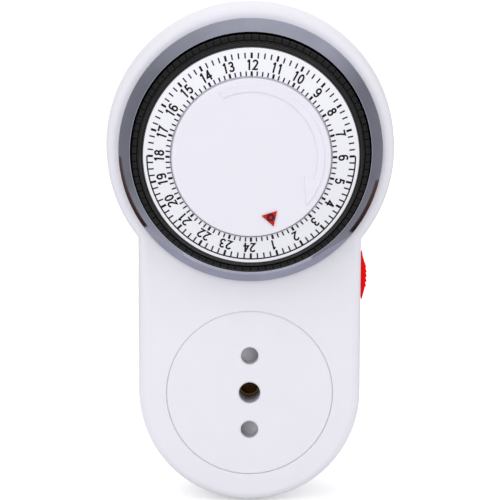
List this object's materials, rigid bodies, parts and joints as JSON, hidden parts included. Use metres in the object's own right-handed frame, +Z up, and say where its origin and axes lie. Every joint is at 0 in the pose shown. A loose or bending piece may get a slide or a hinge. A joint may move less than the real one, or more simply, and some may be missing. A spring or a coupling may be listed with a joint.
{
  "type": "plug-in timer switch",
  "caption": "Plug-in 24 hour segment timer: a turning dial with push-in tappets over a three-hole socket outlet, with a three-pin plug behind and a manual override slide.",
  "frame": {"origin": "root of the earth pin, on the plug face that meets the wall socket", "axes": "+Y along the pins into the wall, -Y out to the user, +Z up from the socket to the dial, +X to the user's right"},
  "size_m": [0.0728, 0.0711, 0.1267],
  "materials": {
    "casing_white": "satin moulded",
    "dial_white": "satin, printed",
    "cap_white": "satin",
    "chrome_plate": "mirror plating on plastic",
    "tappet_black": "satin",
    "carrier_black": "satin",
    "pointer_red": "gloss",
    "slide_red": "gloss",
    "shutter_grey": "matte",
    "contact_brass": "bright",
    "pin_nickel": "nickel plated, satin",
    "sleeve_black": "matte",
    "zinc_steel": "zinc plated",
    "spring_steel": "bright",
    "arbor_steel": "ground",
    "coil_copper": "enamelled winding",
    "magnet_dark": "ferrite",
    "gear_acetal": "natural acetal",
    "plate_grey": "matte",
    "switch_dark": "matte",
    "plunger_white": "matte",
    "lead_brown": "insulated wire",
    "lead_blue": "insulated wire"
  },
  "bodies": {
    "root": {"front_casing": "casing_white", "rear_casing": "casing_white", "bezel_ring": "chrome_plate", "case_screws": "zinc_steel", "socket_face": "casing_white", "shutter_spring": "spring_steel", "line_contacts": "contact_brass", "earth_contact": "contact_brass", "plug_base": "casing_white", "line_pins": "pin_nickel", "earth_pin": "pin_nickel", "pin_sleeves": "sleeve_black", "centre_cap": "cap_white", "time_pointer": "pointer_red", "gear_plate": "plate_grey", "plate_screws": "zinc_steel", "motor_cup": "zinc_steel", "motor_coil": "coil_copper", "motor_plate": "zinc_steel", "train_arbors": "arbor_steel", "switch_case": "switch_dark", "switch_terminals": "contact_brass", "lever_pin": "arbor_steel", "supply_lead": "lead_brown", "load_lead": "lead_brown", "motor_leads": "lead_blue"},
    "dial": {"dial_ring": "dial_white", "tappet_carrier": "carrier_black"},
    "shutter": {"socket_shutter": "shutter_grey"},
    "override": {"override_slide": "slide_red"},
    "rotor": {"motor_rotor": "magnet_dark"},
    "pinion": {"dial_pinion": "gear_acetal", "clutch_spring": "spring_steel"},
    "follower": {"follower_lever": "gear_acetal"},
    "plunger": {"switch_plunger": "plunger_white"},
    "train_1": {"wheel_1": "gear_acetal"},
    "train_2": {"wheel_2": "gear_acetal"},
    "train_3": {"wheel_3": "gear_acetal"},
    "train_4": {"wheel_4": "gear_acetal"},
    "train_5": {"wheel_5": "gear_acetal"},
    "tappet_0000": {"tappet_0000": "tappet_black"},
    "tappet_0015": {"tappet_0015": "tappet_black"},
    "tappet_0030": {"tappet_0030": "tappet_black"},
    "tappet_0045": {"tappet_0045": "tappet_black"},
    "tappet_0100": {"tappet_0100": "tappet_black"},
    "tappet_0115": {"tappet_0115": "tappet_black"},
    "tappet_0130": {"tappet_0130": "tappet_black"},
    "tappet_0145": {"tappet_0145": "tappet_black"},
    "tappets_02h": {"tappets_02h": "tappet_black"},
    "tappets_04h": {"tappets_04h": "tappet_black"},
    "tappets_06h": {"tappets_06h": "tappet_black"},
    "tappets_08h": {"tappets_08h": "tappet_black"},
    "tappets_10h": {"tappets_10h": "tappet_black"},
    "tappets_12h": {"tappets_12h": "tappet_black"},
    "tappets_14h": {"tappets_14h": "tappet_black"},
    "tappets_16h": {"tappets_16h": "tappet_black"},
    "tappets_18h": {"tappets_18h": "tappet_black"},
    "tappets_20h": {"tappets_20h": "tappet_black"},
    "tappets_22h": {"tappets_22h": "tappet_black"}
  },
  "joints": [
    {"name": "dial_turn", "type": "hinge", "parent": "root", "child": "dial", "pos_m": [0, -0.04, 0.062], "axis": [0, 1, 0], "continuous": true},
    {"name": "dial_pinion_turn", "type": "hinge", "parent": "root", "child": "pinion", "pos_m": [-0.0108, -0.02, 0.04329], "axis": [0, 1, 0], "continuous": true},
    {"name": "rotor_spin", "type": "hinge", "parent": "root", "child": "rotor", "pos_m": [-0.00061, -0.02, 0.07949], "axis": [0, 1, 0], "continuous": true},
    {"name": "wheel_1_turn", "type": "hinge", "parent": "root", "child": "train_1", "pos_m": [-0.00623, -0.02, 0.08619], "axis": [0, 1, 0], "continuous": true},
    {"name": "wheel_2_turn", "type": "hinge", "parent": "root", "child": "train_2", "pos_m": [-0.01306, -0.02, 0.07805], "axis": [0, 1, 0], "continuous": true},
    {"name": "wheel_3_turn", "type": "hinge", "parent": "root", "child": "train_3", "pos_m": [-0.01869, -0.02, 0.06831], "axis": [0, 1, 0], "continuous": true},
    {"name": "wheel_4_turn", "type": "hinge", "parent": "root", "child": "train_4", "pos_m": [-0.01869, -0.02, 0.05456], "axis": [0, 1, 0], "continuous": true},
    {"name": "wheel_5_turn", "type": "hinge", "parent": "root", "child": "train_5", "pos_m": [-0.0108, -0.02, 0.04329], "axis": [0, 1, 0], "continuous": true},
    {"name": "tappet_push_0000", "type": "slide", "parent": "dial", "child": "tappet_0000", "axis": [0, 1, 0], "range_m": [0, 0.003]},
    {"name": "tappet_push_0015", "type": "slide", "parent": "dial", "child": "tappet_0015", "axis": [0, 1, 0], "range_m": [0, 0.003]},
    {"name": "tappet_push_0030", "type": "slide", "parent": "dial", "child": "tappet_0030", "axis": [0, 1, 0], "range_m": [0, 0.003]},
    {"name": "tappet_push_0045", "type": "slide", "parent": "dial", "child": "tappet_0045", "axis": [0, 1, 0], "range_m": [0, 0.003]},
    {"name": "tappet_push_0100", "type": "slide", "parent": "dial", "child": "tappet_0100", "axis": [0, 1, 0], "range_m": [0, 0.003]},
    {"name": "tappet_push_0115", "type": "slide", "parent": "dial", "child": "tappet_0115", "axis": [0, 1, 0], "range_m": [0, 0.003]},
    {"name": "tappet_push_0130", "type": "slide", "parent": "dial", "child": "tappet_0130", "axis": [0, 1, 0], "range_m": [0, 0.003]},
    {"name": "tappet_push_0145", "type": "slide", "parent": "dial", "child": "tappet_0145", "axis": [0, 1, 0], "range_m": [0, 0.003]},
    {"name": "bank_push_02h", "type": "slide", "parent": "dial", "child": "tappets_02h", "axis": [0, 1, 0], "range_m": [0, 0.003]},
    {"name": "bank_push_04h", "type": "slide", "parent": "dial", "child": "tappets_04h", "axis": [0, 1, 0], "range_m": [0, 0.003]},
    {"name": "bank_push_06h", "type": "slide", "parent": "dial", "child": "tappets_06h", "axis": [0, 1, 0], "range_m": [0, 0.003]},
    {"name": "bank_push_08h", "type": "slide", "parent": "dial", "child": "tappets_08h", "axis": [0, 1, 0], "range_m": [0, 0.003]},
    {"name": "bank_push_10h", "type": "slide", "parent": "dial", "child": "tappets_10h", "axis": [0, 1, 0], "range_m": [0, 0.003]},
    {"name": "bank_push_12h", "type": "slide", "parent": "dial", "child": "tappets_12h", "axis": [0, 1, 0], "range_m": [0, 0.003]},
    {"name": "bank_push_14h", "type": "slide", "parent": "dial", "child": "tappets_14h", "axis": [0, 1, 0], "range_m": [0, 0.003]},
    {"name": "bank_push_16h", "type": "slide", "parent": "dial", "child": "tappets_16h", "axis": [0, 1, 0], "range_m": [0, 0.003]},
    {"name": "bank_push_18h", "type": "slide", "parent": "dial", "child": "tappets_18h", "axis": [0, 1, 0], "range_m": [0, 0.003]},
    {"name": "bank_push_20h", "type": "slide", "parent": "dial", "child": "tappets_20h", "axis": [0, 1, 0], "range_m": [0, 0.003]},
    {"name": "bank_push_22h", "type": "slide", "parent": "dial", "child": "tappets_22h", "axis": [0, 1, 0], "range_m": [0, 0.003]},
    {"name": "follower_tilt", "type": "hinge", "parent": "root", "child": "follower", "pos_m": [0.0215, -0.0302, 0.0337], "axis": [0, 0, 1], "range_deg": [-13.5, 0]},
    {"name": "plunger_press", "type": "slide", "parent": "root", "child": "plunger", "axis": [0, 1, 0], "range_m": [0, 0.0012]},
    {"name": "override_move", "type": "slide", "parent": "root", "child": "override", "axis": [0, 0, -1], "range_m": [0, 0.004]},
    {"name": "shutter_turn", "type": "hinge", "parent": "root", "child": "shutter", "pos_m": [0, -0.032, 0], "axis": [0, -1, 0], "range_deg": [0, 32.5], "stiffness_Nm_per_rad": 0.001, "springref_deg": -28.65}
  ],
  "couplings": [
    {"joint": "dial_pinion_turn", "follows": "dial_turn", "ratio": 10},
    {"joint": "wheel_1_turn", "follows": "rotor_spin", "ratio": -0.16667},
    {"joint": "wheel_2_turn", "follows": "rotor_spin", "ratio": 0.022222},
    {"joint": "wheel_3_turn", "follows": "rotor_spin", "ratio": -0.0027778},
    {"joint": "wheel_4_turn", "follows": "rotor_spin", "ratio": 0.00027778},
    {"joint": "wheel_5_turn", "follows": "rotor_spin", "ratio": -0.000027778},
    {"joint": "follower_tilt", "follows": "tappet_push_0100", "rad_per_m": -76.8},
    {"joint": "plunger_press", "follows": "tappet_push_0100", "ratio": 0.4}
  ]
}
